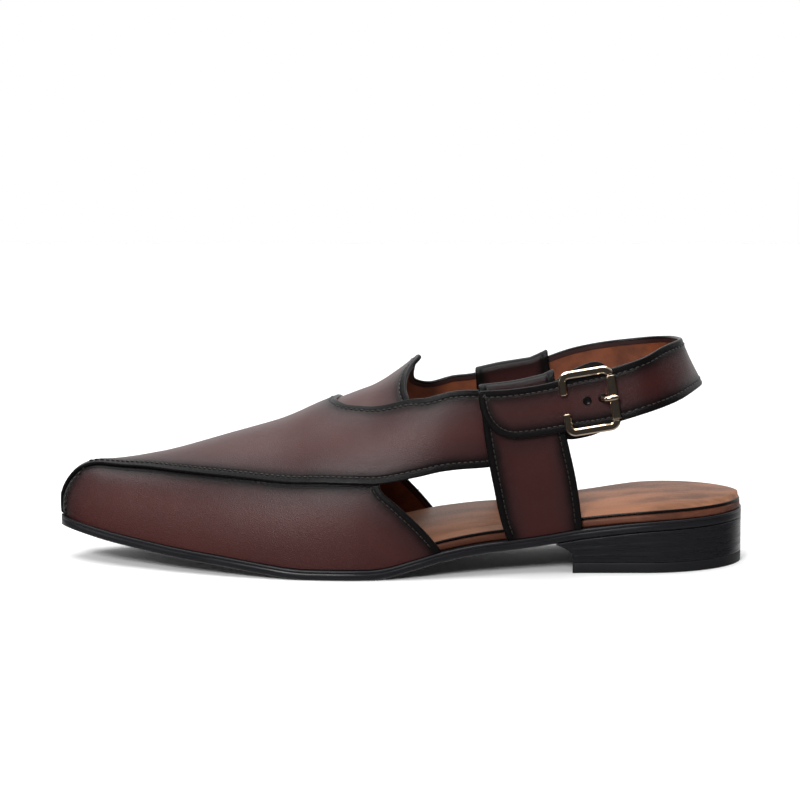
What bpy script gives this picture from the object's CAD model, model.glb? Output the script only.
import math

import bpy
import numpy as np
from mathutils import Matrix, Vector, geometry, kdtree


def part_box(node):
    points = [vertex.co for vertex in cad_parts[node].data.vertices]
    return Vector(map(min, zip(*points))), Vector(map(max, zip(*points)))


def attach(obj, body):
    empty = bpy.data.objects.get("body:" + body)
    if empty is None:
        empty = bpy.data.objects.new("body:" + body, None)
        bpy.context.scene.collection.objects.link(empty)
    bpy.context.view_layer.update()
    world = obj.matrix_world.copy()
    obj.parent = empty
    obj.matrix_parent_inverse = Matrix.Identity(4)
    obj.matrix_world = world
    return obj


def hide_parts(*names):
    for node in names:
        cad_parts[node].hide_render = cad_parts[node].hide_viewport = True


bl_info = {
    "name": "Peshawari chappal",
    "version": (1, 0, 0),
    "blender": (4, 5, 0),
    "location": "View3D > Sidebar > Chappal",
    "description": "Finished pieces of a left peshawari chappal, laid over its packed model",
    "category": "Object",
}

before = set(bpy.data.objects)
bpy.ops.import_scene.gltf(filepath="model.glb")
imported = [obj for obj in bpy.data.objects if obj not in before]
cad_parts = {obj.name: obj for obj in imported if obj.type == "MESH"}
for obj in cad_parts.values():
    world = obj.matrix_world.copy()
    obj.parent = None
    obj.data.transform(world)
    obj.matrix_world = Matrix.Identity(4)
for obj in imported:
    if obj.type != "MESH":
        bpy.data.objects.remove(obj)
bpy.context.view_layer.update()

MM = 0.001

# Plan outline. Columns: station from the toe, outer and inner half widths as shares of ball width.
PLAN = (
    (0.0, 0.095, 0.215),
    (0.033, 0.122, 0.235),
    (0.067, 0.162, 0.26),
    (0.1, 0.205, 0.29),
    (0.18, 0.322, 0.383),
    (0.27, 0.425, 0.45),
    (0.35, 0.485, 0.48),
    (0.43, 0.505, 0.475),
    (0.52, 0.475, 0.415),
    (0.6, 0.42, 0.365),
    (0.68, 0.365, 0.345),
    (0.77, 0.335, 0.345),
    (0.86, 0.335, 0.36),
    (1.0, 0.325, 0.365),
)
# Toe spring, waist and seat. Columns: station, rise of the sole as a share of the heel's rise.
PROFILE = (
    (0.0, 0.73),
    (0.06, 0.57),
    (0.13, 0.41),
    (0.18, 0.31),
    (0.24, 0.215),
    (0.3, 0.1),
    (0.343, 0.02),
    (0.365, 0.0),
    (0.455, 0.0),
    (0.475, 0.03),
    (0.52, 0.2),
    (0.56, 0.36),
    (0.62, 0.5),
    (0.665, 0.555),
    (0.71, 0.635),
    (0.77, 0.775),
    (0.88, 0.945),
    (1.0, 1.0),
)
# Last. Columns: station, ridge height as a share of the instep's rise, squareness of the section.
RIDGE = (
    (0.0, 0.141, 0.9),
    (0.033, 0.232, 0.9),
    (0.07, 0.248, 0.88),
    (0.15, 0.314, 0.85),
    (0.21, 0.38, 0.85),
    (0.26, 0.441, 0.85),
    (0.31, 0.505, 0.85),
    (0.37, 0.59, 0.84),
    (0.4, 0.63, 0.82),
    (0.47, 0.715, 0.76),
    (0.525, 0.79, 0.7),
    (0.6, 0.96, 0.6),
    (0.7, 1.13, 0.5),
    (0.8, 1.28, 0.45),
    (1.0, 1.33, 0.45),
)
# Edges of the wings on the last. Columns: station, turn round the last from outer to inner side.
WING_LOWER = (
    (0.04, 0.46),
    (0.069, 0.44),
    (0.1, 0.407),
    (0.132, 0.375),
    (0.183, 0.32),
    (0.243, 0.269),
    (0.332, 0.221),
    (0.414, 0.187),
    (0.522, 0.148),
    (0.613, 0.11),
    (0.7, 0.098),
)
OUTER_BAND_TOP = (
    (0.7, 0.2),
    (0.66, 0.21),
    (0.611, 0.231),
    (0.57, 0.264),
    (0.542, 0.288),
    (0.515, 0.321),
    (0.469, 0.361),
    (0.432, 0.404),
    (0.418, 0.436),
    (0.407, 0.49),
)
WING_REAR = (
    (0.407, 0.49),
    (0.415, 0.58),
    (0.432, 0.7),
    (0.465, 0.835),
    (0.494, 0.892),
    (0.528, 0.95),
    (0.556, 1.0),
)
INNER_BAND_TOP = (
    (0.69, 0.8),
    (0.655, 0.789),
    (0.607, 0.775),
    (0.576, 0.753),
    (0.547, 0.729),
    (0.527, 0.692),
    (0.519, 0.655),
    (0.523, 0.58),
    (0.53, 0.5),
)
TAB_REAR = (
    (0.53, 0.5),
    (0.518, 0.475),
    (0.51, 0.425),
    (0.508, 0.372),
    (0.512, 0.325),
    (0.509, 0.27),
    (0.484, 0.2),
    (0.468, 0.16),
    (0.494, 0.108),
    (0.528, 0.05),
    (0.556, 0.0),
)
INNER_BAND_END = (0.69, 0.9)
# Side straps. Columns: turn up from the sole, front station, rear station.
SIDE_STRAP = (
    (0.0, 0.655, 0.76),
    (0.02, 0.647, 0.757),
    (0.05, 0.638, 0.751),
    (0.107, 0.626, 0.736),
    (0.165, 0.618, 0.722),
    (0.25, 0.612, 0.71),
)
# Heel strap. Columns as in the part's source: on the last's outer side, behind the ankle, inner end.
STRAP_OUTER = (
    (0.6, 0.146, 0.235),
    (0.65, 0.139, 0.21),
    (0.7, 0.129, 0.195),
    (0.75, 0.12, 0.183),
    (0.795, 0.115, 0.177),
)
STRAP_HEEL = (
    (0.354, -0.35, 0.713, 0.342, -0.329, 0.929),
    (0.394, -0.264, 0.744, 0.374, -0.238, 0.965),
    (0.422, -0.121, 0.768, 0.401, -0.11, 0.98),
    (0.436, 0.019, 0.772, 0.401, 0.018, 0.969),
    (0.429, 0.154, 0.76, 0.391, 0.14, 0.956),
    (0.397, 0.252, 0.728, 0.363, 0.234, 0.94),
    (0.348, 0.286, 0.689, 0.322, 0.263, 0.924),
)
STRAP_INNER = (
    (0.79, 0.876, 0.814),
    (0.75, 0.872, 0.808),
    (0.71, 0.868, 0.802),
)
# Sole edge in section. Columns: inset in millimetres, height as a share of the sole's thickness.
SOLE_EDGE = (
    (2.2, 1.0),
    (0.45, 0.995),
    (0.1, 0.95),
    (0.0, 0.88),
    (0.05, 0.8),
    (0.5, 0.75),
    (0.6, 0.71),
    (0.4, 0.65),
    (0.22, 0.5),
    (0.25, 0.32),
    (0.55, 0.13),
    (1.1, 0.03),
    (2.2, 0.0),
)
INSOLE_EDGE = (
    (3.0, 1.0),
    (1.6, 0.995),
    (0.8, 0.95),
    (0.3, 0.84),
    (0.05, 0.65),
    (0.0, 0.45),
    (0.0, 0.2),
    (0.1, 0.0),
)
SOCK_EDGE = (
    (4.6, 2.4),
    (3.4, 2.15),
    (2.2, 1.6),
    (1.2, 1.05),
    (0.35, 0.93),
    (0.05, 0.7),
    (0.0, 0.4),
    (0.1, 0.0),
)
INSOLE_INSET = (
    (0.0, 4.1),
    (0.74, 4.1),
    (0.79, 3.0),
    (0.86, 0.9),
    (1.0, 0.5),
)


class ChappalSizes(bpy.types.PropertyGroup):
    """Sizes of the shoe in millimetres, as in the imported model."""

    sole_length: bpy.props.FloatProperty(
        name="Sole length", description="Toe to heel", default=299, min=100
    )
    ball_width: bpy.props.FloatProperty(
        name="Ball width", description="Sole at the ball", default=98, min=30
    )
    instep_rise: bpy.props.FloatProperty(
        name="Instep rise", description="Scale of the last's heights", default=100
    )
    heel_height: bpy.props.FloatProperty(
        name="Heel height", description="Seat over the floor", default=23.8
    )
    sole_thickness: bpy.props.FloatProperty(name="Sole thickness", description="Leather sole", default=4.4)
    wall: bpy.props.FloatProperty(name="Wall", description="Leather with its lining", default=1.8)
    gap: bpy.props.FloatProperty(
        name="Gap", description="Space between pieces that lie together", default=0.3
    )
    feather: bpy.props.FloatProperty(
        name="Feather", description="Last's inset from the sole's edge", default=3.4
    )
    insole: bpy.props.FloatProperty(name="Insole", description="Thickness of the insole", default=3.2)
    sock: bpy.props.FloatProperty(name="Sock", description="Thickness of the sock", default=1.0)
    top_lift: bpy.props.FloatProperty(
        name="Top lift", description="Thickness of the rubber lift", default=4.5
    )
    breast: bpy.props.FloatProperty(name="Breast", description="Station of the heel's front", default=0.748)
    stand_off: bpy.props.FloatProperty(
        name="Strap stand-off", description="Heel strap over the last", default=6.2
    )
    stitch: bpy.props.FloatProperty(
        name="Stitch", description="Length of one stitch with its gap", default=2.5
    )
    seam: bpy.props.FloatProperty(
        name="Seam", description="Stitch row's distance from the edge", default=2.3
    )
    thread: bpy.props.FloatProperty(name="Thread", description="Radius of the thread", default=0.27)


class ChappalColours(bpy.types.PropertyGroup):
    """Colours of the finishes."""

    leather: bpy.props.StringProperty(name="Leather", description="Burgundy leather", default="#3d1b18")
    strap: bpy.props.StringProperty(
        name="Strap leather", description="Burgundy strap leather", default="#371614"
    )
    leather_deep: bpy.props.StringProperty(
        name="Deep leather", description="Burgundy near the burnish", default="#2c1213"
    )
    ink: bpy.props.StringProperty(
        name="Burnish", description="Black burnish at the edges", default="#0c0a0a"
    )
    lining: bpy.props.StringProperty(name="Lining", description="Tan lining", default="#783d1f")
    insole: bpy.props.StringProperty(name="Insole", description="Brown insole leather", default="#5e3626")
    sock: bpy.props.StringProperty(name="Sock", description="Brown sock leather", default="#8c5c40")
    thread: bpy.props.StringProperty(name="Thread", description="Waxed thread", default="#211a19")
    sole: bpy.props.StringProperty(name="Sole", description="Black edge ink", default="#19191c")
    metal: bpy.props.StringProperty(name="Buckle", description="Pale gold plate", default="#f4dfc6")
    floor: bpy.props.StringProperty(name="Floor", description="Pale floor", default="#f4f4f4")


def sizes():
    return bpy.context.scene.chappal_sizes


def colour(name):
    return linear(getattr(bpy.context.scene.chappal_colours, name))


def linear(code):
    """An sRGB hex value as a linear colour."""
    parts = [int(code[k : k + 2], 16) / 255 for k in (1, 3, 5)]
    return [c / 12.92 if c <= 0.04045 else ((c + 0.055) / 1.055) ** 2.4 for c in parts] + [1.0]


def mix(low, high, share):
    return low + (high - low) * share


def smooth(share):
    f = np.clip(share, 0.0, 1.0)
    return f * f * (3 - 2 * f)


def unit(vectors):
    return vectors / np.maximum(np.linalg.norm(vectors, axis=-1, keepdims=True), 1e-12)


def read(table, column, at):
    """Values of one table column at given stations, eased between rows without overshoot."""
    rows = np.asarray(table, float)
    x = rows[:, 0]
    y = rows[:, column]
    slope = np.diff(y) / np.diff(x)
    tangent = np.zeros(len(x))
    tangent[0] = slope[0]
    tangent[-1] = slope[-1]
    product = slope[:-1] * slope[1:]
    total = np.where(product > 0, slope[:-1] + slope[1:], 1.0)
    tangent[1:-1] = np.where(product > 0, 2 * product / total, 0.0)
    at = np.clip(np.asarray(at, float), x[0], x[-1])
    row = np.clip(np.searchsorted(x, at, side="right") - 1, 0, len(x) - 2)
    span = x[row + 1] - x[row]
    f = (at - x[row]) / span
    ease = y[row] * (1 + 2 * f) * (1 - f) ** 2 + y[row + 1] * f * f * (3 - 2 * f)
    return ease + span * f * (1 - f) * (tangent[row] * (1 - f) - tangent[row + 1] * f)


def end_round(distance, reach):
    return np.sqrt(np.clip(1 - np.clip(1 - distance / reach, 0, None) ** 2, 0, None))


def curve_through(rows, count):
    """Points of an even spline through table rows."""
    p = np.asarray(rows, float)
    at = np.linspace(0, len(p) - 1, count + 1)
    k = np.minimum(at.astype(int), len(p) - 2)
    w = (at - k)[:, None]
    before = p[np.maximum(k - 1, 0)]
    after = p[np.minimum(k + 2, len(p) - 1)]
    a = p[k]
    b = p[k + 1]
    v0 = (b - before) / 2
    v1 = (after - a) / 2
    return (2 * a - 2 * b + v0 + v1) * w**3 + (-3 * a + 3 * b - 2 * v0 - v1) * w**2 + v0 * w + a


def rope_through(points, at):
    """Points of a centripetal spline through points, at shares of its length of rows."""
    p = np.asarray(points, float)
    q = np.vstack([2 * p[0] - p[1], p, 2 * p[-1] - p[-2]])
    place = np.clip(np.asarray(at, float), 0, 1) * (len(p) - 1)
    k = np.minimum(place.astype(int), len(p) - 2)
    w = (place - k)[..., None]
    a, b, c, d = q[k], q[k + 1], q[k + 2], q[k + 3]
    dt = [np.linalg.norm(m - n, axis=-1, keepdims=True) ** 0.5 for m, n in ((b, a), (c, b), (d, c))]
    t1 = ((b - a) / dt[0] - (c - a) / (dt[0] + dt[1]) + (c - b) / dt[1]) * dt[1]
    t2 = ((c - b) / dt[1] - (d - b) / (dt[1] + dt[2]) + (d - c) / dt[2]) * dt[1]
    return b + t1 * w + (-3 * b + 3 * c - 2 * t1 - t2) * w**2 + (2 * b - 2 * c + t1 + t2) * w**3


# The last and the surfaces that follow it

TOE_SHIFT = 6
TOE_ROUND = 30
TOE_RISE = 16
TOE_BULGE = 1.8
TOE_FULLNESS = 0.72
BULGE_REACH = 0.08
HEEL_ROUND = 44
INSET_FADE = 5


def centre_y(station):
    return TOE_SHIFT * (1 - station) ** 3


def edge_y(station, side, inset):
    size = sizes()
    station = np.asarray(station, float)
    centre = centre_y(station)
    half = read(PLAN, 1 if side < 0 else 2, station) * size.ball_width - inset - side * centre
    toe = end_round(station * size.sole_length - inset, TOE_ROUND)
    heel = end_round((1 - station) * size.sole_length - inset, HEEL_ROUND)
    return centre + side * half * toe * heel


def inset_y(station, side, base, inset):
    edge = edge_y(station, side, base)
    half = np.abs(edge - centre_y(station))
    return edge - side * inset * np.minimum(1, half / INSET_FADE)


def station_x(station):
    return (station - 0.5) * sizes().sole_length


def sole_top(station):
    size = sizes()
    return size.sole_thickness + (size.heel_height - size.sole_thickness) * read(PROFILE, 1, station)


def last_point(station, turn):
    size = sizes()
    station, turn = np.broadcast_arrays(np.asarray(station, float), np.asarray(turn, float))
    left = edge_y(station, -1, size.feather)
    right = edge_y(station, 1, size.feather)
    lean = np.cos(np.pi * turn)
    toe = end_round(station * size.sole_length - size.feather, TOE_RISE)
    rise = read(RIDGE, 1, station) * size.instep_rise * toe**TOE_FULLNESS
    across = np.sign(lean) * np.abs(lean) ** read(RIDGE, 2, station)
    y = (left + right) / 2 - (right - left) / 2 * across
    z = sole_top(station) + size.gap + rise * np.sin(np.pi * turn)
    height = toe**TOE_FULLNESS * np.sin(np.pi * turn)
    forward = TOE_BULGE * 4 * height * (1 - height) * (1 - smooth(station / BULGE_REACH))
    return np.stack([station_x(station) - forward, y, z], -1)


def on_last(station, turn, offset):
    step = 1e-4
    along = last_point(station + step, turn) - last_point(station - step, turn)
    around = last_point(station, turn + step) - last_point(station, turn - step)
    return last_point(station, turn) + unit(np.cross(along, around)) * np.asarray(offset)[..., None]


def strap_rows():
    size = sizes()
    low = []
    high = []
    for s, a, b in STRAP_OUTER:
        low.append(on_last(s, a, size.stand_off))
        high.append(on_last(s, b, size.stand_off))
    scale = np.array([size.sole_length, size.ball_width, size.instep_rise])
    for row in STRAP_HEEL:
        low.append(np.array(row[:3]) * scale)
        high.append(np.array(row[3:]) * scale)
    for s, a, b in STRAP_INNER:
        low.append(on_last(s, a, 0.0))
        high.append(on_last(s, b, 0.0))
    return np.array(low), np.array(high)


def strap_point(along, up):
    low, high = strap_rows()
    return mix(rope_through(low, along), rope_through(high, along), np.asarray(up, float)[..., None])


def on_strap(along, up, offset):
    step = 1e-3
    along, up = np.broadcast_arrays(np.asarray(along, float), np.asarray(up, float))
    ahead = strap_point(np.clip(along + step, 0, 1), up) - strap_point(np.clip(along - step, 0, 1), up)
    rise = strap_point(along, np.ones_like(up)) - strap_point(along, np.zeros_like(up))
    return strap_point(along, up) + unit(np.cross(ahead, rise)) * np.asarray(offset)[..., None]


# Sheets, bars and their faces


class Shape:
    """Faces of one piece, gathered from several forms."""

    def __init__(self):
        self.points = []
        self.faces = []
        self.slots = []
        self.edge = []
        self.count = 0

    def add(self, points, faces, slot, edge=0.0):
        points = np.asarray(points, float).reshape(-1, 3)
        self.points.append(points)
        self.faces.extend(tuple(int(k) + self.count for k in face) for face in faces)
        self.slots.extend([slot] * len(faces))
        self.edge.append(np.broadcast_to(np.asarray(edge, float), (len(points),)))
        self.count += len(points)


def shoe_shift():
    """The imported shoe's sideways place against the last's own line."""
    low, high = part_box("outsole")
    s = np.linspace(0.2, 0.8, 400)
    own = (edge_y(s, -1, 0).min() + edge_y(s, 1, 0).max()) / 2
    return (low.y + high.y) / 2 / MM - own


def build(name, shape, materials, replaced=()):
    """A mesh object from a shape in the last's millimetres, riding on the shoe."""
    points = np.vstack(shape.points) + np.array([0, shoe_shift(), 0])
    mesh = bpy.data.meshes.new(name)
    mesh.from_pydata((points * MM).tolist(), [], shape.faces)
    for material in materials:
        mesh.materials.append(material)
    mesh.polygons.foreach_set("material_index", shape.slots)
    mesh.polygons.foreach_set("use_smooth", [True] * len(mesh.polygons))
    edge = mesh.attributes.new("edge_mm", "FLOAT", "POINT")
    edge.data.foreach_set("value", np.concatenate(shape.edge).astype(np.float32))
    mesh.update()
    made = bpy.data.objects.new(name, mesh)
    bpy.context.scene.collection.objects.link(made)
    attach(made, "root")
    if replaced:
        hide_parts(*replaced)
    return made


def grid_faces(rows, columns, wrap=False, flip=False):
    faces = []
    for r in range(rows - 1):
        for c in range(columns if wrap else columns - 1):
            a = r * columns + c
            b = r * columns + (c + 1) % columns
            quad = (a, b, b + columns, a + columns)
            faces.append(quad[::-1] if flip else quad)
    return faces


def loft(shape, loops, slot):
    """Closed loops joined into a solid with flat ends."""
    loops = np.asarray(loops, float)
    rows, columns = loops.shape[:2]
    faces = grid_faces(rows, columns, wrap=True)
    faces.append(tuple(range(columns))[::-1])
    faces.append(tuple(range((rows - 1) * columns, rows * columns)))
    shape.add(loops.reshape(-1, 3), faces, slot)


def clip(polygon, axis, limit, above):
    out = []
    for k, start in enumerate(polygon):
        stop = polygon[(k + 1) % len(polygon)]
        start_in = start[axis] >= limit if above else start[axis] <= limit
        stop_in = stop[axis] >= limit if above else stop[axis] <= limit
        if start_in:
            out.append(start)
        if start_in != stop_in:
            share = (limit - start[axis]) / (stop[axis] - start[axis])
            cut = [mix(start[0], stop[0], share), mix(start[1], stop[1], share)]
            cut[axis] = limit
            out.append(tuple(cut))
    return out


def fill(region, us, vs):
    """Faces of a region on a grid, as flat points and index tuples."""
    keys = {}
    flat = []
    faces = []

    def index_of(p):
        key = (round(p[0] * 1e7), round(p[1] * 1e7))
        if key not in keys:
            keys[key] = len(flat)
            flat.append(p)
        return keys[key]

    for u0, u1 in zip(us, us[1:]):
        strip = clip(clip([tuple(p) for p in region], 0, u0, True), 0, u1, False)
        if len(strip) < 3:
            continue
        for v0, v1 in zip(vs, vs[1:]):
            cell = clip(clip(strip, 1, v0, True), 1, v1, False)
            ring = list(dict.fromkeys(index_of(p) for p in cell))
            if len(ring) < 3:
                continue
            if len(ring) == 4:
                faces.append(tuple(ring))
                continue
            corners = [Vector((flat[k][0], flat[k][1], 0)) for k in ring]
            for tri in geometry.tessellate_polygon([corners]):
                faces.append(tuple(ring[k] for k in tri))
    fixed = []
    points = np.array(flat)
    for face in faces:
        p = points[list(face)]
        q = np.roll(p, -1, axis=0)
        area = (p[:, 0] * q[:, 1] - q[:, 0] * p[:, 1]).sum()
        if abs(area) > 1e-12:
            fixed.append(face if area > 0 else face[::-1])
    return points, fixed


def outline(region, place, offset, spacing):
    """The region's edge walked in even steps: flat points, places and directions into the region."""
    loop = np.vstack([region, region[:1]])
    dense = []
    for a, b in zip(loop, loop[1:]):
        dense.extend(mix(a, b, f) for f in np.linspace(0, 1, 9)[:-1])
    dense.append(loop[-1])
    dense = np.array(dense)
    world = place(dense[:, 0], dense[:, 1], np.full(len(dense), offset))
    reach = np.concatenate([[0], np.cumsum(np.linalg.norm(np.diff(world, axis=0), axis=1))])
    count = max(8, int(reach[-1] / spacing))
    at = np.linspace(0, reach[-1], count + 1)[:-1]
    flat = np.stack([np.interp(at, reach, dense[:, k]) for k in (0, 1)], -1)
    here = place(flat[:, 0], flat[:, 1], np.full(count, offset))
    out = unit(place(flat[:, 0], flat[:, 1], np.full(count, offset + 1.0)) - here)
    ahead = unit(np.roll(here, -1, axis=0) - np.roll(here, 1, axis=0))
    inward = unit(np.cross(out, ahead))
    area = (region[:, 0] * np.roll(region[:, 1], -1) - np.roll(region[:, 0], -1) * region[:, 1]).sum()
    middle = flat.mean(axis=0)
    step = 1e-4
    du = place(middle[0] + step, middle[1], 0.0) - place(middle[0] - step, middle[1], 0.0)
    dv = place(middle[0], middle[1] + step, 0.0) - place(middle[0], middle[1] - step, 0.0)
    up = place(middle[0], middle[1], 1.0) - place(middle[0], middle[1], 0.0)
    hand = 1.0 if np.dot(np.cross(du, dv), up) > 0 else -1.0
    return flat, here, out, ahead, inward * hand * np.sign(area), hand


def nearest(points):
    """A search tree of points."""
    tree = kdtree.KDTree(len(points))
    for k, p in enumerate(points):
        tree.insert(p, k)
    tree.balance()
    return tree


# The rounded cut edge. Millimetres between its sections, its sides, its height and its depth as shares of
# half the leather, and how far a rubbed line lies from a cut edge in its burnish.
EDGE_STEP = 0.9
EDGE_SIDES = 10
EDGE_HEIGHT = 1.04
EDGE_DEPTH = 0.72
RUBBED_OFF = 0.3


def panel(shape, region, us, vs, place, low, high, slots, lasted=None, rubbed=()):
    """A sheet of leather: outer face, lining and a rounded edge, with its distance to the cut edge in
    millimetres. Edges where lasted(u, v) holds go under the sole, and get no burnish. The points in
    rubbed lie on lines that are burnished like an edge."""
    region = np.asarray(region, float)
    flat, here, out, _, inward, hand = outline(region, place, (low + high) / 2, EDGE_STEP)
    half = (high - low) / 2
    edges = nearest(here if lasted is None else here[~lasted(flat[:, 0], flat[:, 1])])
    lines = nearest(rubbed) if len(rubbed) else None
    spots, faces = fill(region, us, vs)
    for level, side in ((high, 1), (low, -1)):
        points = place(spots[:, 0], spots[:, 1], np.full(len(spots), level))
        edge = np.array([edges.find(p)[2] for p in points])
        edge = np.sqrt(np.maximum(edge**2 - half**2, 0))
        if side > 0 and lines is not None:
            edge = np.minimum(edge, [lines.find(p)[2] + RUBBED_OFF for p in points])
        turned = faces if side * hand > 0 else [face[::-1] for face in faces]
        shape.add(points, turned, slots[0] if side > 0 else slots[1], edge)
    angle = np.linspace(0, 2 * np.pi, EDGE_SIDES + 1)[:-1]
    up = np.cos(angle)[None, :, None] * out[:, None]
    across = EDGE_DEPTH * np.sin(angle)[None, :, None] * inward[:, None]
    ring = here[:, None] + half * EDGE_HEIGHT * (up + across)
    faces = []
    count = len(here)
    for r in range(count):
        n = (r + 1) % count
        for c in range(EDGE_SIDES):
            d = (c + 1) % EDGE_SIDES
            faces.append((r * EDGE_SIDES + c, r * EDGE_SIDES + d, n * EDGE_SIDES + d, n * EDGE_SIDES + c))
    shape.add(ring.reshape(-1, 3), faces, slots[2])


# One stitch. Columns: place along it in stitch lengths, radius and height in thread radii.
STITCH = (
    (-0.4, 0.25, -1.3),
    (-0.34, 0.75, -0.5),
    (-0.2, 1.0, 0.0),
    (0.2, 1.0, 0.0),
    (0.34, 0.75, -0.5),
    (0.4, 0.25, -1.3),
)
STITCH_SIDES = 6
STITCH_PROUD = 0.1


def stitches(shape, region, place, high, slot, keep, inset=None):
    """A row of thread stitches inside a panel's edge, where keep(u, v) holds."""
    size = sizes()
    inset = size.seam if inset is None else inset
    flat, here, out, ahead, inward, _ = outline(np.asarray(region, float), place, high, size.stitch)
    angle = np.linspace(0, 2 * np.pi, STITCH_SIDES + 1)[:-1]
    for k in np.flatnonzero(keep(flat[:, 0], flat[:, 1])):
        middle = here[k] + inward[k] * inset + out[k] * size.thread * STITCH_PROUD
        around = np.cos(angle)[:, None] * out[k] + np.sin(angle)[:, None] * inward[k]
        rings = []
        for along, radius, height in STITCH:
            centre = middle + ahead[k] * along * size.stitch + out[k] * height * size.thread
            rings.append(centre + radius * size.thread * around)
        loft(shape, rings, slot)


# Materials


def node(tree, kind, settings=None, inputs=(), output=0):
    """Adds one node with its settings, values and links, and returns one of its outputs."""
    made = tree.nodes.new("ShaderNode" + kind)
    for key, value in (settings or {}).items():
        setattr(made, key, value)
    for socket, item in inputs.items() if isinstance(inputs, dict) else enumerate(inputs):
        if isinstance(item, bpy.types.NodeSocket):
            tree.links.new(item, made.inputs[socket])
        else:
            made.inputs[socket].default_value = item
    return made.outputs[output] if made.outputs else None


ADD = {"operation": "ADD"}
SUBTRACT = {"operation": "SUBTRACT"}
MULTIPLY = {"operation": "MULTIPLY"}
EXPONENT = {"operation": "EXPONENT"}
MAXIMUM = {"operation": "MAXIMUM"}
EVEN = {"interpolation_type": "LINEAR"}
SOFT = {"interpolation_type": "SMOOTHSTEP"}
COLOURS = {"data_type": "RGBA"}
# Sockets of a colour mix: the share, both colours and the result.
SHARE, LOW, HIGH, MIXED = 0, 6, 7, 2


def per_mm(width):
    """Scale of a pattern whose grains are this many millimetres wide."""
    return 1 / (width * MM)


def start_material(name):
    """A material, its empty tree and the place on the object."""
    material = bpy.data.materials.new(name)
    material.use_nodes = True
    tree = material.node_tree
    tree.nodes.clear()
    return material, tree, node(tree, "TexCoord", output="Object")


def finish_material(tree, inputs):
    node(tree, "OutputMaterial", None, {"Surface": node(tree, "BsdfPrincipled", None, inputs)})


def darker(key, share):
    return [c * share for c in colour(key)[:3]] + [1.0]


def grain(tree, where, cell, depth, strength=0.8):
    """Bump of small leather cells with finer pores between them, and its height."""
    cells = node(tree, "TexVoronoi", {"feature": "F1"}, {"Vector": where, "Scale": per_mm(cell)})
    fine = {"Vector": where, "Scale": per_mm(cell * 0.55), "Detail": 3.0}
    pores = node(tree, "TexNoise", None, fine)
    height = node(tree, "Mix", {"data_type": "FLOAT"}, {0: 0.55, 2: cells, 3: pores})
    bump = node(tree, "Bump", None, {"Strength": strength, "Distance": depth * MM, "Height": height})
    return bump, height


def seam_groove(tree, edge, normal, depth):
    """Bump of the furrow that a stitch row presses into the leather."""
    off = node(tree, "Math", SUBTRACT, [edge, sizes().seam])
    steep = node(tree, "Math", MULTIPLY, [node(tree, "Math", MULTIPLY, [off, off]), -2.6])
    height = node(tree, "Math", MULTIPLY, [node(tree, "Math", EXPONENT, [steep]), -1.0])
    furrow = {"Strength": 0.8, "Distance": depth * MM, "Height": height, "Normal": normal}
    return node(tree, "Bump", None, furrow)


def burnished_leather(name, key, reach):
    """Calf leather, dyed burgundy and burnished black by hand toward its edges, then waxed.
    The eye sees a satin wine brown that sinks softly into black at each edge, with a fine sparkle."""
    material, tree, where = start_material(name)
    edge = node(tree, "Attribute", {"attribute_name": "edge_mm"}, output="Fac")
    broad = {"Vector": where, "Scale": per_mm(40), "Detail": 3.0, "Roughness": 0.55}
    cloud = node(tree, "MapRange", SOFT, [node(tree, "TexNoise", None, broad), 0.3, 0.7, 0.7, 1.0])
    inside = node(tree, "MapRange", SOFT, [edge, 3.0, reach, 0.0, 1.0])
    inner = node(tree, "Math", MULTIPLY, [cloud, inside])
    dyed = {SHARE: inner, LOW: colour("leather_deep"), HIGH: colour(key)}
    base = node(tree, "Mix", COLOURS, dyed, MIXED)
    ragged = {"Vector": where, "Scale": per_mm(7), "Detail": 3.0, "Roughness": 0.55}
    centred = node(tree, "Math", SUBTRACT, [node(tree, "TexNoise", None, ragged), 0.5])
    wander = node(tree, "Math", MULTIPLY, [centred, 2.5])
    rubbed = node(tree, "Math", ADD, [edge, wander])
    rim = node(tree, "MapRange", SOFT, [rubbed, 1.7, 7.0, 0.0, 1.0])
    bump, height = grain(tree, where, 0.45, 0.15, 1.0)
    finish_material(
        tree,
        {
            "Base Color": node(tree, "Mix", COLOURS, {SHARE: rim, LOW: colour("ink"), HIGH: base}, MIXED),
            "Roughness": node(tree, "MapRange", EVEN, [height, 0.15, 0.6, 0.26, 0.42]),
            "Specular IOR Level": node(tree, "MapRange", SOFT, [edge, 1.5, 7.0, 0.13, 0.32]),
            "Normal": seam_groove(tree, edge, bump, 0.3),
        },
    )
    return material


def inked_edge():
    """Cut leather edge, sanded and sealed with black ink. It reads as a thin satin black cord."""
    material, tree, where = start_material("leather_edge_inked")
    bump, height = grain(tree, where, 0.5, 0.03)
    gloss = node(tree, "MapRange", EVEN, [height, 0.15, 0.6, 0.2, 0.32])
    finish_material(
        tree,
        {"Base Color": colour("ink"), "Specular IOR Level": 0.13, "Roughness": gloss, "Normal": bump},
    )
    return material


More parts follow.
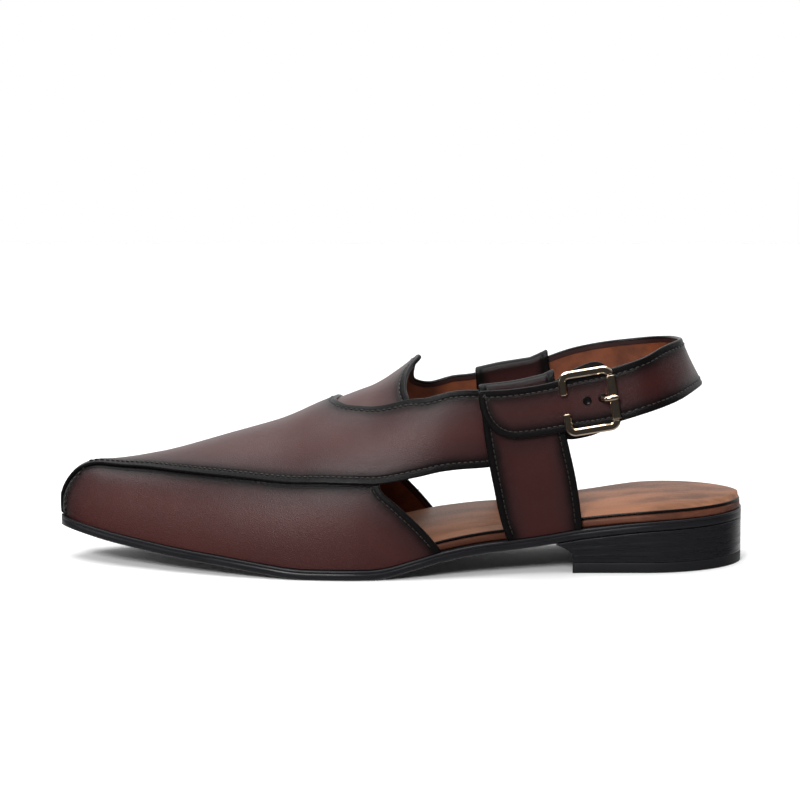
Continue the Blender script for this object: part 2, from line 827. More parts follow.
def lining_leather():
    """Tan lining leather, drum dyed and left matt, with the outer leather folded over its edges.
    It glows orange brown inside the shoe, within a narrow dark border."""
    material, tree, where = start_material("lining_leather_matt")
    edge = node(tree, "Attribute", {"attribute_name": "edge_mm"}, output="Fac")
    mottle = {"Vector": where, "Scale": per_mm(10), "Detail": 6.0, "Roughness": 0.55}
    cloud = node(tree, "MapRange", SOFT, [node(tree, "TexNoise", None, mottle), 0.3, 0.65, 0.0, 1.0])
    dyed = {SHARE: cloud, LOW: darker("lining", 0.55), HIGH: colour("lining")}
    tan = node(tree, "Mix", COLOURS, dyed, MIXED)
    border = node(tree, "MapRange", SOFT, [edge, 1.9, 2.15, 0.0, 1.0])
    bordered = {SHARE: border, LOW: colour("leather_deep"), HIGH: tan}
    bump, _ = grain(tree, where, 0.8, 0.09)
    fold = node(tree, "MapRange", SOFT, [edge, 1.8, 2.3, 1.0, 0.0])
    step = {"Strength": 0.8, "Distance": 0.4 * MM, "Height": fold, "Normal": bump}
    finish_material(
        tree,
        {
            "Base Color": node(tree, "Mix", COLOURS, bordered, MIXED),
            "Roughness": 0.58,
            "Normal": node(tree, "Bump", None, step),
        },
    )
    return material


def footbed_leather(name, key, streak):
    """Vegetable-tanned footbed leather, antiqued with a rag. It shows darker strokes along the foot."""
    material, tree, where = start_material(name)
    long = node(tree, "Mapping", None, {"Vector": where, "Scale": (0.3, 1.0, 1.0)})
    strokes = {"Vector": long, "Scale": per_mm(15), "Detail": 7.0, "Roughness": 0.62}
    tone = node(tree, "MapRange", SOFT, [node(tree, "TexNoise", None, strokes), 0.32, 0.6, 0.0, 1.0])
    along = node(tree, "SeparateXYZ", None, [where])
    seat = node(tree, "MapRange", SOFT, [along, 0.04, 0.1, 0.45, 1.0])
    tone = node(tree, "Math", MULTIPLY, [tone, seat])
    rubbed = {SHARE: tone, LOW: darker(key, streak), HIGH: colour(key)}
    bump, height = grain(tree, where, 0.9, 0.07)
    finish_material(
        tree,
        {
            "Base Color": node(tree, "Mix", COLOURS, rubbed, MIXED),
            "Roughness": node(tree, "MapRange", EVEN, [height, 0.15, 0.6, 0.4, 0.55]),
            "Specular IOR Level": 0.2,
            "Normal": bump,
        },
    )
    return material


def waxed_sole(name, rough, line):
    """Sole leather edge, inked black and waxed on a wheel. Faint level lines show its layers."""
    material, tree, where = start_material(name)
    long = node(tree, "Mapping", None, {"Vector": where, "Scale": (0.05, 0.05, 1.0)})
    pressed = {"Vector": long, "Scale": per_mm(line), "Detail": 3.0, "Roughness": 0.55}
    layers = node(tree, "TexNoise", None, pressed)
    bump = node(tree, "Bump", None, {"Strength": 0.4, "Distance": 0.05 * MM, "Height": layers})
    gloss = node(tree, "MapRange", SOFT, [layers, 0.3, 0.7, rough, rough + 0.16])
    finish_material(
        tree,
        {"Base Color": colour("sole"), "Specular IOR Level": 0.25, "Roughness": gloss, "Normal": bump},
    )
    return material


def thread_material():
    """Waxed nylon thread, dark brown. It shows as short dull dashes."""
    material, tree, where = start_material("waxed_thread")
    fuzz = {"Vector": where, "Scale": per_mm(0.4), "Detail": 5.0, "Roughness": 0.55}
    twist = {"Strength": 0.4, "Distance": 0.05 * MM, "Height": node(tree, "TexNoise", None, fuzz)}
    bump = node(tree, "Bump", None, twist)
    finish_material(tree, {"Base Color": colour("thread"), "Roughness": 0.45, "Normal": bump})
    return material


def plated_metal():
    """Zinc casting with a pale gold plate, tumbled bright. It mirrors the studio with soft edges."""
    material, tree, where = start_material("cast_zinc_gold_plated")
    tumbled = {"Vector": where, "Scale": per_mm(1.5), "Detail": 4.0, "Roughness": 0.55}
    haze = node(tree, "TexNoise", None, tumbled)
    gloss = node(tree, "MapRange", SOFT, [haze, 0.3, 0.7, 0.08, 0.15])
    bump = node(tree, "Bump", None, {"Strength": 0.12, "Distance": 0.03 * MM, "Height": haze})
    finish_material(
        tree, {"Base Color": colour("metal"), "Metallic": 1.0, "Roughness": gloss, "Normal": bump}
    )
    return material


MATERIALS = {
    "leather": lambda: burnished_leather("calf_leather_burnished", "leather", 17.0),
    "strap_leather": lambda: burnished_leather("strap_leather_burnished", "strap", 12.0),
    "ink": inked_edge,
    "lining": lining_leather,
    "insole": lambda: footbed_leather("insole_leather_antiqued", "insole", 0.4),
    "sock": lambda: footbed_leather("sock_leather_antiqued", "sock", 0.35),
    "sole": lambda: waxed_sole("sole_leather_edge_waxed", 0.25, 1.4),
    "heel": lambda: waxed_sole("heel_leather_stacked_waxed", 0.22, 1.1),
    "rubber": lambda: waxed_sole("lift_rubber_moulded", 0.5, 2.0),
    "thread": thread_material,
    "metal": plated_metal,
}
made_materials = {}


def finish_of(key):
    if key not in made_materials:
        made_materials[key] = MATERIALS[key]()
    return made_materials[key]


def leather_set(face="leather"):
    return [finish_of(key) for key in (face, "lining", "ink", "thread")]


# Pieces


def edge_loops(stations, rows, inset_at, low, high):
    loops = []
    table = np.array(rows)
    for s in stations:
        ring = []
        for side, part in ((-1, table), (1, table[::-1])):
            for inset, share in part:
                y = inset_y(s, side, inset_at(s), inset)
                ring.append((station_x(s), float(y), float(mix(low(s), high(s), share))))
        loops.append(ring)
    return loops


def waves(count, low, high):
    return mix(low, high, (1 - np.cos(np.pi * np.linspace(0, 1, count))) / 2)


# The heel: rows along each side, the last station, then its front face. Share of the heel's rise that
# leans, the lean and the bow as shares of the length, how fast the lean grows and rows across.
HEEL_ROWS = 56
HEEL_END = 0.9997
BREAST_SHARE = 0.75
BREAST_LEAN = 0.025
BREAST_SWEEP = 6
BREAST_BOW = 0.012
BREAST_ROWS = np.linspace(0.85, -0.85, 11)


def heel_ring(level, inset):
    """Heel outline at one height, from breast round the seat and back. level gives z for a station."""
    size = sizes()
    ring = []
    drop = (size.heel_height - size.sole_thickness) * BREAST_SHARE
    front = size.breast - BREAST_LEAN * float(smooth(level(size.breast) / drop)) ** BREAST_SWEEP
    for side in (-1, 1):
        for k in range(HEEL_ROWS + 1):
            f = k / HEEL_ROWS if side < 0 else 1 - k / HEEL_ROWS
            s = mix(front, HEEL_END, math.sin(math.pi / 2 * f))
            ring.append((station_x(s), float(inset_y(s, side, 0, inset)), float(level(s))))
    start, stop = ring[0], ring[-1]
    for across in BREAST_ROWS:
        y = mix(start[1], stop[1], (across + 1) / 2)
        ring.append((start[0] + BREAST_BOW * (1 - across**2) * size.sole_length, y, start[2]))
    return ring


def heel_loops(low, high, rows):
    return [heel_ring(lambda s, f=share: mix(low(s), high(s), f), inset) for share, inset in rows]


TIP_GAP = 0.15
# Rows from the tip to the point where the wings part, and how fast the slit opens there.
SLIT_ROWS = (0, 0.1, 0.25, 0.45, 0.7)
SLIT_SPREAD = 1.6


def tip_station():
    """Station just behind the last's tip."""
    return (sizes().feather + TIP_GAP) / sizes().sole_length


def slit_edge(side):
    tip = tip_station()
    rows = []
    for f in SLIT_ROWS:
        station = mix(tip, WING_LOWER[0][0], f)
        half = float(last_point(station, 1.0)[1] - last_point(station, 0.0)[1]) / 2
        open_share = min(0.9, max(0.0, SLIT_SPREAD * (1 - f) / half))
        turn = 0.5 - math.acos(open_share ** (1 / float(read(RIDGE, 2, station)))) / math.pi
        middle = WING_LOWER[0][1]
        rows.append((station, middle - turn * 2 * middle if side < 0 else middle + turn * 2 * (1 - middle)))
    return rows


def outer_wing_region():
    tip = tip_station()
    parts = [
        slit_edge(1)[::-1],
        [(tip, 1.0), (WING_REAR[-1][0], 1.0)],
        curve_through(WING_REAR[::-1], 60)[1:],
        curve_through(OUTER_BAND_TOP[::-1], 90)[1:],
        curve_through(WING_LOWER[::-1], 130),
    ]
    return np.vstack([np.asarray(part, float) for part in parts])


def inner_wing_region():
    tip = tip_station()
    mirrored = [(u, 1 - v) for u, v in WING_LOWER[:-1]]
    parts = [
        slit_edge(-1)[::-1],
        [(tip, 0.0), (TAB_REAR[-1][0], 0.0)],
        curve_through(TAB_REAR[::-1], 100)[1:],
        curve_through(INNER_BAND_TOP[::-1], 80)[1:],
        curve_through([INNER_BAND_END, *mirrored[::-1]], 120),
    ]
    return np.vstack([np.asarray(part, float) for part in parts])


# Soft troughs and ridges of the new leather. Columns: station, turn, length along the shoe and length
# round it in millimetres, height in millimetres.
CREASES = (
    (0.33, 0.4, 9, 40, -0.25),
    (0.375, 0.36, 7, 34, 0.2),
    (0.45, 0.28, 14, 16, -0.35),
    (0.2, 0.4, 22, 20, 0.25),
    (0.47, 0.52, 6, 22, -0.3),
    (0.4, 0.12, 26, 12, 0.3),
)
GIRTH = 120


def relief(station, turn):
    total = np.zeros(np.broadcast(station, turn).shape)
    for s, t, length, girth, height in CREASES:
        a = (station - s) * sizes().sole_length / length
        b = (turn - t) * GIRTH / girth
        total = total + height * np.exp(-(a * a + b * b))
    return total


# How far the outer wing sinks into the inner one, and the turns over which its step fades out.
WING_SINK = 0.25
WING_FADE = (0.86, 0.11)
FEATHER_TURN = 0.006


def at_feather(_, v):
    return (v < FEATHER_TURN) | (v > 1 - FEATHER_TURN)


def inner_wing_place(u, v, offset):
    return on_last(u, v, offset + relief(u, v))


def outer_wing_place(u, v, offset):
    fade = smooth((np.asarray(v) - WING_FADE[0]) / WING_FADE[1])
    step = (sizes().wall - WING_SINK) * (1 - fade)
    return on_last(u, v, step + offset + relief(u, v))


# A side strap's share of length where it turns over the band and where it comes down inside. Then in
# turns: where its width at the top is read, its foot's rise and the leg inside. Last its stand at the foot.
FOLD_START = 0.72
FOLD_END = 0.82
TOP_TURN = 0.22
FOOT_TURN = 0.085
INSIDE_TURN = 0.075
FOOT_STAND = 0.1


def side_strap_place(side):
    """Place function of a side strap: u runs up, over the band and down inside, v runs across."""
    size = sizes()
    low = (size.wall - WING_SINK if side < 0 else 0.0) - size.gap
    high = (2 * size.wall - WING_SINK if side < 0 else size.wall) + size.gap
    centre = (low + high) / 2
    inner = (high - low) / 2
    band = sorted(OUTER_BAND_TOP if side < 0 else INNER_BAND_TOP)

    def station_at(turn, share):
        return mix(read(SIDE_STRAP, 1, turn), read(SIDE_STRAP, 2, turn), share)

    def turn_of(turn):
        return turn if side < 0 else 1 - turn

    def place(u, v, depth):
        u, v, depth = np.broadcast_arrays(*(np.asarray(value, float) for value in (u, v, depth)))
        top = read(band, 1, station_at(TOP_TURN, v))
        top = top if side < 0 else 1 - top
        turn = top * np.clip(u / FOLD_START, 0, 1)
        stand = mix(FOOT_STAND, high, smooth(turn / FOOT_TURN))
        out_leg = on_last(station_at(turn, v), turn_of(turn), stand + depth)
        inside = top - INSIDE_TURN * np.clip((u - FOLD_END) / (1 - FOLD_END), 0, 1)
        in_leg = on_last(station_at(inside, v), turn_of(inside), low - depth)
        station = station_at(top, v)
        foot = on_last(station, turn_of(top), np.zeros_like(u))
        out = on_last(station, turn_of(top), np.ones_like(u)) - foot
        rise = on_last(station, turn_of(top + 0.01), np.zeros_like(u)) - foot
        rise = unit(rise - out * (rise * out).sum(-1, keepdims=True))
        angle = np.pi * np.clip((u - FOLD_START) / (FOLD_END - FOLD_START), 0, 1)
        away = (centre + (inner + depth) * np.cos(angle))[..., None]
        above = ((inner + depth) * np.sin(angle))[..., None]
        upper_half = np.where((u > FOLD_END)[..., None], in_leg, foot + out * away + rise * above)
        return np.where((u < FOLD_START)[..., None], out_leg, upper_half)

    return place


# The strap's tip: its square and rounded corners, then the punched holes, along and up the strap.
TIP_START = 0.0162
TIP_LENGTH = 0.078
TIP_RISE = 0.95
HOLES = ((0.24, 0.5), (0.276, 0.5))
BUCKLE_AT = (0.2445, 0.5)
BACKING_EDGE = (
    (0.15, 0.04),
    (0.175, -0.13),
    (0.195, -0.2),
    (0.216, -0.23),
    (0.25, -0.2),
    (0.275, -0.14),
    (0.292, -0.03),
    (0.299, 0.12),
    (0.3, 0.5),
    (0.297, 0.88),
    (0.288, 1.03),
    (0.272, 1.15),
    (0.255, 1.2),
    (0.235, 1.19),
    (0.205, 1.12),
    (0.18, 1.03),
    (0.15, 0.93),
)


def strap_region():
    angle = np.pi / 2 * np.linspace(1, 0, 26)
    corner = np.stack([TIP_START + TIP_LENGTH * (1 - np.sin(angle)), TIP_RISE * (1 - np.cos(angle))], -1)
    return np.vstack([[(TIP_START, 1.0)], corner, [(1.0, 0.0), (1.0, 1.0)]])


def strap_matrix(along, up):
    origin = on_strap(along, up, 0.0)
    ahead = unit(on_strap(along + 0.02, up, 0.0) - on_strap(along - 0.02, up, 0.0))
    out = unit(on_strap(along, up, 1.0) - origin)
    rise = np.cross(out, ahead)
    return np.column_stack([ahead, rise, out]), origin


def sweep(shape, route, section, slot, closed=False, up=(0, 0, 1), taper=None):
    """A section swept along a route. The section's first axis lies across the route, its second along up."""
    route = np.asarray(route, float)
    if closed:
        ahead = np.roll(route, -1, axis=0) - np.roll(route, 1, axis=0)
    else:
        ahead = np.gradient(route, axis=0)
    ahead = unit(ahead)
    across = unit(np.cross(ahead, np.asarray(up, float)))
    top = unit(np.cross(across, ahead))
    size = np.ones((len(route), 2)) if taper is None else np.asarray(taper, float)
    section = np.asarray(section, float)
    rings = (
        route[:, None]
        + across[:, None] * (section[None, :, :1] * size[:, None, :1])
        + top[:, None] * (section[None, :, 1:] * size[:, None, 1:])
    )
    if closed:
        rings = np.vstack([rings, rings[:1]])
        shape.add(rings.reshape(-1, 3), grid_faces(len(rings), len(section), wrap=True, flip=True), slot)
    else:
        count = len(section)
        faces = grid_faces(len(rings), count, wrap=True, flip=True)
        faces.append(tuple(range(count)))
        faces.append(tuple(range((len(rings) - 1) * count, len(rings) * count))[::-1])
        shape.add(rings.reshape(-1, 3), faces, slot)


def pillow(width, depth, count=16, power=3.0):
    """A rounded bar section."""
    angle = np.linspace(0, 2 * np.pi, count + 1)[:-1]
    c, s = np.cos(angle), np.sin(angle)
    x = np.sign(c) * np.abs(c) ** (2 / power) * width / 2
    y = np.sign(s) * np.abs(s) ** (2 / power) * depth / 2
    return np.stack([x, y], -1)


def bevelled(width, depth, bevel):
    """A flat bar section with bevelled edges, each corner held by close rows."""
    x, y, b, c = width / 2, depth / 2, bevel, bevel * 0.12
    corner = ((x, y - b - c), (x, y - b), (x - c, y - b + c), (x - b + c, y - c), (x - b, y), (x - b - c, y))
    ring = []
    for sx, sy, flip in ((1, 1, False), (-1, 1, True), (-1, -1, False), (1, -1, True)):
        part = [(sx * u, sy * v) for u, v in corner]
        ring.extend(part[::-1] if flip else part)
    return ring


def placed(shape, matrix, origin):
    """A shape given in the buckle's own axes, moved to its place on the strap."""
    shape.points = [points @ matrix.T + origin for points in shape.points]
    return shape


class CHAPPAL_OT_sole(bpy.types.Operator):
    """Builds the outsole, the stacked heel and its rubber top lift."""

    bl_idname = "chappal.sole"
    bl_label = "Sole and heel"

    def execute(self, context):
        size = sizes()

        def bottom(s):
            return sole_top(s) - size.sole_thickness

        shape = Shape()
        loft(shape, edge_loops(waves(190, 0.0003, 0.9997), SOLE_EDGE, lambda s: 0, bottom, sole_top), 0)
        build("sole_edge_lip", shape, [finish_of("sole")], ["outsole"])
        lifts = [(0.0, 0.5), (0.02, 0.3), (0.04, 0.22)]
        for seam in (0.34, 0.67):
            for off, inset in ((-0.03, 0.2), (-0.012, 0.24), (0, 0.31), (0.012, 0.24), (0.03, 0.2)):
                lifts.append((seam + off, inset))
        lifts += [(0.96, 0.2), (0.99, 0.3), (1.0, 0.5)]
        shape = Shape()
        rings = heel_loops(lambda s: size.top_lift + 0.12, lambda s: bottom(s) - 0.05, lifts)
        loft(shape, rings, 0)
        build("stacked_heel", shape, [finish_of("heel")], ["heel_stack"])
        shape = Shape()
        rows = [(0.0, 0.9), (0.05, 0.45), (0.14, 0.25), (0.9, 0.22), (0.97, 0.3), (1.0, 0.5)]
        loft(shape, heel_loops(lambda s: 0.0, lambda s: size.top_lift, rows), 0)
        build("rubber_top_lift", shape, [finish_of("rubber")], ["top_lift"])
        return {"FINISHED"}


# The sock's distance inside the insole's edge and over its face, and the black line round it.
SOCK_INSET = 0.6
SOCK_LIFT = 0.1
END_INSET = 0.6
SOCK_LINE = 1.1
SOCK_LINE_LIFT = 0.5


class CHAPPAL_OT_footbed(bpy.types.Operator):
    """Builds the wrapped insole and the sock glued on it."""

    bl_idname = "chappal.footbed"
    bl_label = "Insole and sock"

    def execute(self, context):
        size = sizes()

        def inset(s):
            return float(read(INSOLE_INSET, 1, s))

        def low(s):
            return sole_top(s) + size.gap

        def high(s):
            return low(s) + size.insole

        def sock_low(s):
            return high(s) + SOCK_LIFT

        def sock_high(s):
            return high(s) + size.gap + size.sock

        for name, rows, more, under, over, key in (
            ("wrapped_insole", INSOLE_EDGE, 0.0, low, high, "insole"),
            ("sock_leather", SOCK_EDGE, SOCK_INSET, sock_low, sock_high, "sock"),
        ):
            start = (inset(0) + more + END_INSET) / size.sole_length
            stop = 1 - (inset(1) + more + END_INSET) / size.sole_length
            stations = waves(150, start, stop)
            shape = Shape()
            loft(shape, edge_loops(stations, rows, lambda s, m=more: inset(s) + m, under, over), 0)
            if key == "sock":
                line = []
                for side, row in ((-1, stations), (1, stations[::-1])):
                    for s in row:
                        y = float(inset_y(s, side, inset(s) + more, 0.0))
                        line.append((station_x(s), y, float(under(s)) + SOCK_LINE_LIFT))
                sweep(shape, line, pillow(SOCK_LINE, SOCK_LINE, 8), 1, closed=True)
            build(name, shape, [finish_of(key), finish_of("ink")], [key])
        return {"FINISHED"}


class CHAPPAL_OT_upper(bpy.types.Operator):
    """Builds the two crossed wings with their bands and the throat tab."""

    bl_idname = "chappal.upper"
    bl_label = "Upper"

    def execute(self, context):
        size = sizes()
        us = mix(tip_station(), 0.701, np.linspace(0, 1, 190) ** 1.35)
        vs = np.linspace(0, 1, 101)
        shape = Shape()
        region = inner_wing_region()
        over = curve_through(WING_LOWER, 130)
        line = inner_wing_place(over[:, 0], over[:, 1], np.full(len(over), size.wall))
        panel(shape, region, us, vs, inner_wing_place, 0.0, size.wall, (0, 1, 2), at_feather, line)

        def inner_keep(u, v):
            feather = (v > 0.012) & (v < 0.988)
            slit = (u < 0.045) & (v < 0.5)
            outer_rear = (v < 0.19) & (u > 0.4)
            throat = (u > 0.49) & (u < 0.66) & (v > 0.33) & (v < 0.83)
            return feather & (slit | outer_rear | throat)

        stitches(shape, region, inner_wing_place, size.wall, 3, inner_keep)
        build("inner_wing", shape, leather_set(), ["upper"])
        shape = Shape()
        region = outer_wing_region()
        panel(shape, region, us, vs, outer_wing_place, 0.0, size.wall, (0, 1, 2), at_feather)

        def outer_keep(u, v):
            return (v < 0.988) & (u < 0.665) & (u > 0.045)

        stitches(shape, region, outer_wing_place, size.wall, 3, outer_keep)
        build("outer_wing", shape, leather_set())
        return {"FINISHED"}


# A hole's pressed rim. Columns: radius and height over the strap's face in millimetres.
HOLE_RIM = ((2.0, -0.1), (1.9, 0.2), (1.65, 0.3), (1.4, 0.24), (1.25, 0.14), (0.02, 0.12))
HOLE_SIDES = 24
# Levels of the black backing's faces under the strap, in millimetres.
BACKING_LEVELS = (-3.85, -2.85)


def punch_holes(shape):
    """Round punched holes with pressed rims in the heel strap."""
    size = sizes()
    angle = np.linspace(0, 2 * np.pi, HOLE_SIDES + 1)[:-1]
    circle = np.column_stack([np.cos(angle), np.sin(angle), np.zeros(HOLE_SIDES)])
    for along, up in HOLES:
        matrix, origin = strap_matrix(along, up)
        rings = []
        for radius, level in HOLE_RIM:
            rings.append(origin + (radius * circle + (0, 0, size.wall + level)) @ matrix.T)
        loft(shape, rings, 2)


class CHAPPAL_OT_straps(bpy.types.Operator):
    """Builds the folded side straps, the heel strap and the black piece behind the buckle."""

    bl_idname = "chappal.straps"
    bl_label = "Straps"

    def execute(self, context):
        size = sizes()
        square = [(0.0, 0.0), (1.0, 0.0), (1.0, 1.0), (0.0, 1.0)]
        up_strap = [
            np.linspace(0, FOLD_START, 60),
            np.linspace(FOLD_START, FOLD_END, 14)[1:],
            np.linspace(FOLD_END, 1, 16)[1:],
        ]
        across = np.linspace(0, 1, 40)
        for side, place_name in ((-1, "outer"), (1, "inner")):
            place = side_strap_place(side)
            shape = Shape()
            us = np.concatenate(up_strap)
            fold = place(np.full(40, (FOLD_START + FOLD_END) / 2), across, np.full(40, size.wall))
            panel(shape, square, us, across, place, 0.0, size.wall, (0, 1, 2), lambda u, v: u < 0.004, fold)
            stitches(shape, square, place, size.wall, 3, lambda u, v: (u > 0.015) & (u < 0.67))
            below_fold = [(0.0, 0.07), (0.69, 0.07), (0.69, 0.93), (0.0, 0.93)]
            stitches(shape, below_fold, place, size.wall, 3, lambda u, v: u > 0.685, 0.0)
            finish = leather_set("strap_leather")
            build(f"{place_name}_side_strap", shape, finish, [f"side_strap_{place_name}"])
        shape = Shape()
        region = strap_region()
        us = np.linspace(0, 1, 260)
        panel(shape, region, us, np.linspace(0, 1, 22), on_strap, 0.0, size.wall, (0, 1, 2))
        stitches(shape, region, on_strap, size.wall, 3, lambda u, v: u < 0.985)
        punch_holes(shape)
        build("long_heel_strap", shape, leather_set("strap_leather"), ["heel_strap"])
        shape = Shape()
        region = curve_through(BACKING_EDGE, 90)
        us = np.linspace(0.14, 0.32, 40)
        panel(shape, region, us, np.linspace(-0.3, 1.3, 36), on_strap, *BACKING_LEVELS, (2, 2, 2))
        build("black_backing", shape, leather_set(), ["buckle_backing"])
        return {"FINISHED"}


# The buckle in millimetres: its reach, the frame's bar, its neck under the sleeve, the open rear side,
# the hinge behind the strap, the sleeve and the prong.
BUCKLE_LENGTH = 24
BUCKLE_HEIGHT = 28
BAR_WIDTH = 3.3
BAR_THICKNESS = 1.6
BAR_BEVEL = 0.62
BAR_CORNER = 4.6
BAR_OVER_STRAP = 1.25
BAR_END = 0.5
NECK_HALF = 9.8
NECK_SHARE = 0.6
REAR_OPENING = 3.9
HINGE_WIDTH = 1.5
HINGE_UNDER_STRAP = 1.15
LUG = (1.7, 1.1)
LUG_UNDER_HINGE = 0.6
SLEEVE_HALF = 9.5
SLEEVE_SECTION = (3.7, 2.5, 0.6)
SLEEVE_ROWS = (-SLEEVE_HALF, -SLEEVE_HALF + 0.15, -8.0, 0.0, 8.0, SLEEVE_HALF - 0.15, SLEEVE_HALF)
SLEEVE_SWELL = (0.93, 1.0, 1.0, 1.0, 1.0, 1.0, 0.93)
PRONG_WIDTH = 2.2
PRONG_TIP = 12.6
PRONG_POINT = (0.99, 0.96, 0.9, 0.78, 0.5)


class CHAPPAL_OT_buckle(bpy.types.Operator):
    """Builds the open buckle frame, its sleeve and the prong."""

    bl_idname = "chappal.buckle"
    bl_label = "Buckle"

    def execute(self, context):
        size = sizes()
        matrix, origin = strap_matrix(*BUCKLE_AT)
        hole_x = float(((on_strap(*HOLES[1], 0.0) - origin) @ matrix)[0])
        rise = size.wall + BAR_OVER_STRAP
        origin = origin + matrix[:, 2] * rise
        front = (BUCKLE_LENGTH - BAR_WIDTH) / 2
        top = (BUCKLE_HEIGHT - BAR_WIDTH) / 2
        radius = BAR_CORNER - BAR_WIDTH / 2
        middle = BAR_THICKNESS / 2

        def cast(name, shape, node_name):
            build(name, placed(shape, matrix, origin), [finish_of("metal")], [node_name])

        route = [(-front, REAR_OPENING)]
        for sx, sy, start, stop in ((-1, 1, 180, 90), (1, 1, 90, 0), (1, -1, 0, -90), (-1, -1, -90, -180)):
            cx = sx * (front - radius)
            cy = sy * (top - radius)
            for a in np.radians(np.linspace(start, stop, 14)):
                route.append((cx + radius * math.cos(a), cy + radius * math.sin(a)))
        route = np.array([*route, (-front, -REAR_OPENING)])
        reach = np.concatenate([[0], np.cumsum(np.linalg.norm(np.diff(route, axis=0), axis=1))])
        at = np.linspace(0, reach[-1], 260)
        flat = np.stack([np.interp(at, reach, route[:, k]) for k in (0, 1)], -1)
        path = np.column_stack([flat, np.full(len(flat), middle)])
        ends = np.minimum(at, reach[-1] - at)
        swell = np.ones((len(path), 2))
        swell *= np.sqrt(np.clip(1 - np.clip(1 - ends / BAR_END, 0, 1) ** 2, 0.3, 1))[:, None]
        swell[(flat[:, 0] > front - 0.3) & (np.abs(flat[:, 1]) < NECK_HALF)] *= NECK_SHARE
        shape = Shape()
        sweep(shape, path, bevelled(BAR_WIDTH, BAR_THICKNESS, BAR_BEVEL), 0, taper=swell)
        hinge_x = hole_x - PRONG_WIDTH / 2 - HINGE_WIDTH / 2 - size.gap
        hinge_z = -rise - HINGE_UNDER_STRAP
        hinge = [(hinge_x, y, hinge_z) for y in np.linspace(-top, top, 12)]
        sweep(shape, hinge, pillow(HINGE_WIDTH, HINGE_WIDTH, power=2), 0)
        levels = np.linspace(hinge_z - LUG_UNDER_HINGE, BAR_THICKNESS * 0.7, 8)
        for end in (-1, 1):
            sweep(shape, [(hinge_x, end * top, z) for z in levels], pillow(*LUG), 0, up=(0, 1, 0))
        cast("buckle_open_frame", shape, "buckle_frame")
        shape = Shape()
        tube = [(front, y, middle) for y in SLEEVE_ROWS]
        puff = np.array(SLEEVE_SWELL)
        sweep(shape, tube, bevelled(*SLEEVE_SECTION), 0, taper=np.stack([puff, puff], -1))
        cast("buckle_roller_sleeve", shape, "buckle_sleeve")
        shape = Shape()
        over = middle + SLEEVE_SECTION[1] / 2 + PRONG_WIDTH / 2 + size.gap
        knots = (
            (hole_x, 0, hinge_z - 0.55),
            (hole_x, 0, -rise + size.wall * 0.6),
            (hole_x + 0.3, 0, over - 2.2),
            (hole_x + 1.3, 0, over - 0.5),
            (hole_x + 2.8, 0, over),
            (PRONG_TIP, 0, over - 0.1),
        )
        path = rope_through(knots, np.linspace(0, 1, 60))
        taper = np.ones((60, 2))
        taper[:, 1] = 0.95
        taper[-5:] *= np.array(PRONG_POINT)[:, None]
        sweep(shape, path, pillow(PRONG_WIDTH, PRONG_WIDTH, 20, 2.6), 0, up=(0, 1, 0), taper=taper)
        cast("buckle_tongue", shape, "buckle_prong")
        return {"FINISHED"}


# Stage

TARGET_HEIGHT = 0.045
CAMERA_DISTANCE = 1.5
CAMERA_ELEVATION = 10.2
CAMERA_AZIMUTH = 0.0
FOCAL_PIXELS = 3425
FRAME_PIXELS = 800
# The floor's half width, near edge and far edge, in metres.
FLOOR_REACH = (6.0, -6.0, 1.2)
# Softboxes. Columns: name, place, side in metres, power in watts.
LAMPS = (
    ("front_softbox", (-0.35, -1.15, 0.8), 0.4, 15),
    ("top_softbox", (-0.2, 0.15, 1.65), 1.8, 37),
    ("side_softbox", (-1.35, -0.55, 0.4), 0.6, 2),
    ("rear_softbox", (1.3, 0.7, 0.9), 0.8, 3),
)
LAMP_AIM = Vector((0, 0, 0.05))
CAMERA_AIM = Vector((-0.0002, 0.0, 0.07056))
SENSOR = 36


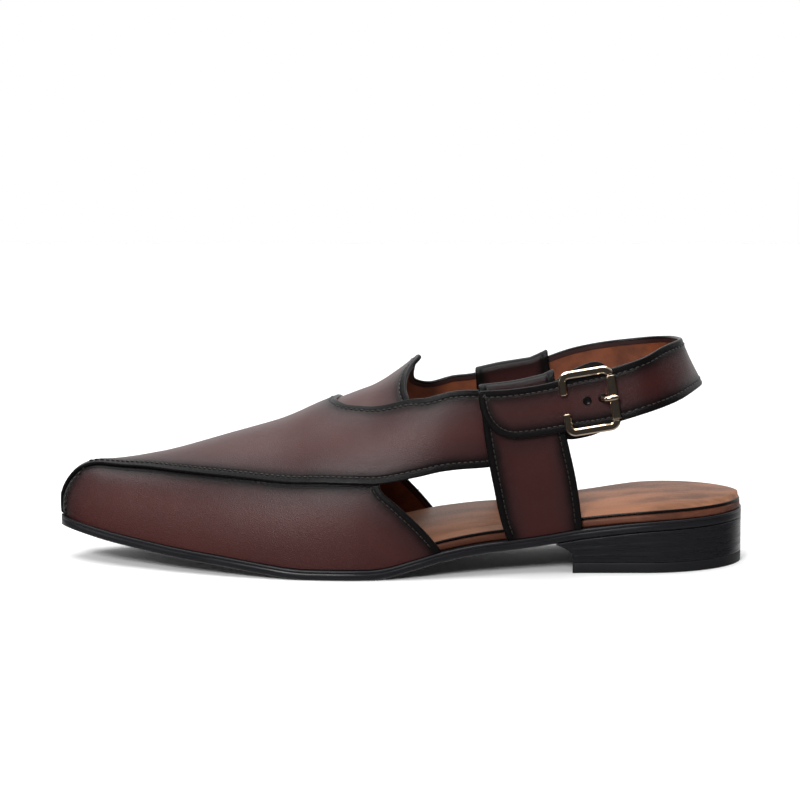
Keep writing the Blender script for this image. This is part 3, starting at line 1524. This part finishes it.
class CHAPPAL_OT_stage(bpy.types.Operator):
    """Sets the pale floor, the soft studio lights and the camera."""

    bl_idname = "chappal.stage"
    bl_label = "Stage"

    def execute(self, context):
        scene = context.scene
        mesh = bpy.data.meshes.new("floor")
        x, near, far = FLOOR_REACH
        mesh.from_pydata([(-x, near, 0), (x, near, 0), (x, far, 0), (-x, far, 0)], [], [(0, 1, 2, 3)])
        floor = bpy.data.objects.new("floor", mesh)
        scene.collection.objects.link(floor)
        # Painted board, rolled matt. It reads as an even pale ground with a soft shadow.
        material, tree, _ = start_material("painted_studio_floor")
        finish_material(tree, {"Base Color": colour("floor"), "Roughness": 0.9, "Specular IOR Level": 0.1})
        mesh.materials.append(material)
        floor.visible_glossy = False
        world = scene.world or bpy.data.worlds.new("studio")
        scene.world = world
        world.use_nodes = True
        world.node_tree.nodes.clear()
        sky = world.node_tree
        toward = node(sky, "TexCoord", output="Generated")
        _, depth, level = node(sky, "SeparateXYZ", None, [toward]).node.outputs
        behind = node(sky, "MapRange", SOFT, [depth, 0.2, 0.8, 0.0, 1.0])
        above = node(sky, "MapRange", SOFT, [level, 0.3, 1.0, 0.0, 0.45])
        below = node(sky, "MapRange", SOFT, [level, -1.0, -0.2, 0.35, 0.0])
        bright = node(sky, "Math", MAXIMUM, [behind, above])
        glow = node(sky, "Math", MAXIMUM, [bright, node(sky, "Math", ADD, [below, 0.03])])
        shine = node(sky, "Background", None, {"Color": (1, 1, 1, 1), "Strength": glow})
        node(sky, "OutputWorld", None, {"Surface": shine})
        for name, place, size, power in LAMPS:
            lamp = bpy.data.lights.new(name, "AREA")
            lamp.shape = "SQUARE"
            lamp.size = size
            lamp.energy = power
            holder = bpy.data.objects.new(name, lamp)
            holder.location = place
            holder.rotation_mode = "QUATERNION"
            holder.rotation_quaternion = (LAMP_AIM - Vector(place)).to_track_quat("-Z", "Y")
            scene.collection.objects.link(holder)
        lens = bpy.data.cameras.new("camera")
        lens.sensor_width = SENSOR
        lens.lens = FOCAL_PIXELS / FRAME_PIXELS * SENSOR
        lens.clip_start = 0.05
        camera = bpy.data.objects.new("camera", lens)
        a = math.radians(CAMERA_AZIMUTH)
        e = math.radians(CAMERA_ELEVATION)
        back = Vector((math.sin(a) * math.cos(e), -math.cos(a) * math.cos(e), math.sin(e)))
        camera.location = Vector((0, 0, TARGET_HEIGHT)) + back * CAMERA_DISTANCE
        camera.rotation_mode = "QUATERNION"
        camera.rotation_quaternion = (CAMERA_AIM - camera.location).to_track_quat("-Z", "Y")
        scene.collection.objects.link(camera)
        scene.camera = camera
        scene.view_settings.view_transform = "Standard"
        return {"FINISHED"}


class CHAPPAL_PT_panel(bpy.types.Panel):
    """Lists the shoe's pieces."""

    bl_idname = "CHAPPAL_PT_panel"
    bl_label = "Chappal"
    bl_space_type = "VIEW_3D"
    bl_region_type = "UI"
    bl_category = "Chappal"

    def draw(self, context):
        for group in (context.scene.chappal_sizes, context.scene.chappal_colours):
            for name in group.__annotations__:
                self.layout.prop(group, name)
        for operator in OPERATORS:
            self.layout.operator(operator.bl_idname)


OPERATORS = (
    CHAPPAL_OT_stage,
    CHAPPAL_OT_sole,
    CHAPPAL_OT_footbed,
    CHAPPAL_OT_upper,
    CHAPPAL_OT_straps,
    CHAPPAL_OT_buckle,
)
CLASSES = (ChappalSizes, ChappalColours, *OPERATORS, CHAPPAL_PT_panel)


def register():
    for item in CLASSES:
        bpy.utils.register_class(item)
    bpy.types.Scene.chappal_sizes = bpy.props.PointerProperty(type=ChappalSizes)
    bpy.types.Scene.chappal_colours = bpy.props.PointerProperty(type=ChappalColours)


def unregister():
    del bpy.types.Scene.chappal_colours
    del bpy.types.Scene.chappal_sizes
    for item in reversed(CLASSES):
        bpy.utils.unregister_class(item)


def main():
    register()
    for name in ("stage", "sole", "footbed", "upper", "straps", "buckle"):
        getattr(bpy.ops.chappal, name)()


if __name__ == "__main__":
    main()
